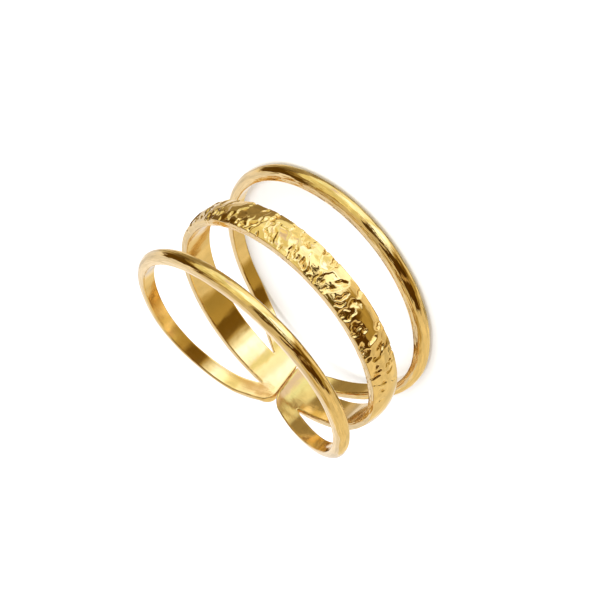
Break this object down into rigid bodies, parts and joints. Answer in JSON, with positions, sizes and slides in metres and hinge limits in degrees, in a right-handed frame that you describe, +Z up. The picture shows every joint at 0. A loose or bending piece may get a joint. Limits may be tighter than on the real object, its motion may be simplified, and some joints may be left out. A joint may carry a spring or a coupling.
{
  "type": "multi-band ring",
  "caption": "Open finger ring of yellow metal: a hammered middle band between two slim half-round hoops that run together into rounded ends at the back.",
  "frame": {"origin": "the point of the resting plane under the middle of the ring's bounding box, with the ring lying on its side on its lower hoop", "axes": "+Z up, out of the finger hollow; -Y towards the hammered crown; +Y towards the gap between the two ends; +X to the right when the crown faces the viewer"},
  "size_m": [0.0196, 0.0204, 0.0113],
  "materials": {
    "gold": "polished, with a hammered face on the middle band"
  },
  "bodies": {
    "root": {"three_band_ring": "gold"}
  },
  "joints": []
}
